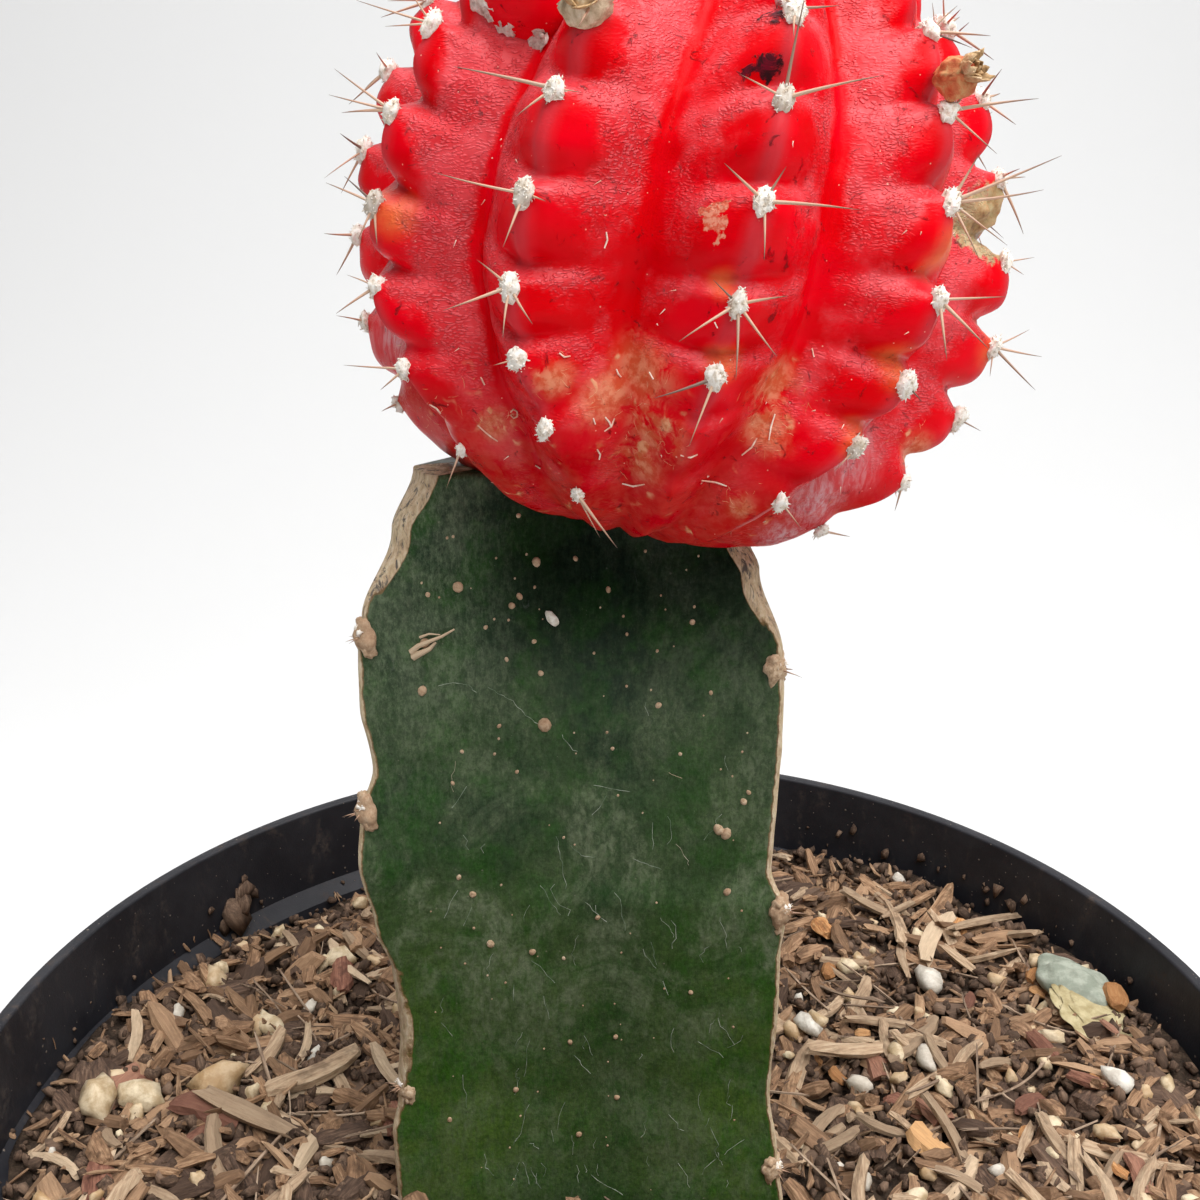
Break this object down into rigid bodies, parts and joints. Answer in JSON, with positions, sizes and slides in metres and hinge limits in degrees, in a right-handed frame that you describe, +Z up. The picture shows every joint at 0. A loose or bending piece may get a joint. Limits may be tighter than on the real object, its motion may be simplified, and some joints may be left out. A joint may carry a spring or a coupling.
{
  "type": "potted moon cactus",
  "caption": "Red ribbed globe cactus grafted on a green three-ribbed cactus stem, in a round black nursery pot of bark mix.",
  "frame": {"origin": "middle of the pot's foot ring, on the surface that the pot stands on", "axes": "+Z up along the pot's axis; -Y towards the front of the plant; +X to the right of the front view"},
  "size_m": [0.1, 0.1, 0.1671],
  "materials": {
    "pot_plastic": "black moulded plastic, satin, with dust",
    "soil_mix": "loose mix of wood chips, bark, stones and dark compost, dry",
    "stem_skin": "waxy dark green skin, satin, with tan corky edges",
    "globe_skin": "glossy red skin, pebbled on the flanks of the ribs",
    "dried_bloom": "dry and papery, tan to brown"
  },
  "bodies": {
    "root": {"pot": "pot_plastic", "soil": "soil_mix", "rootstock": "stem_skin", "scion": "globe_skin", "dried_bud": "dried_bloom", "dried_flower": "dried_bloom"}
  },
  "joints": []
}
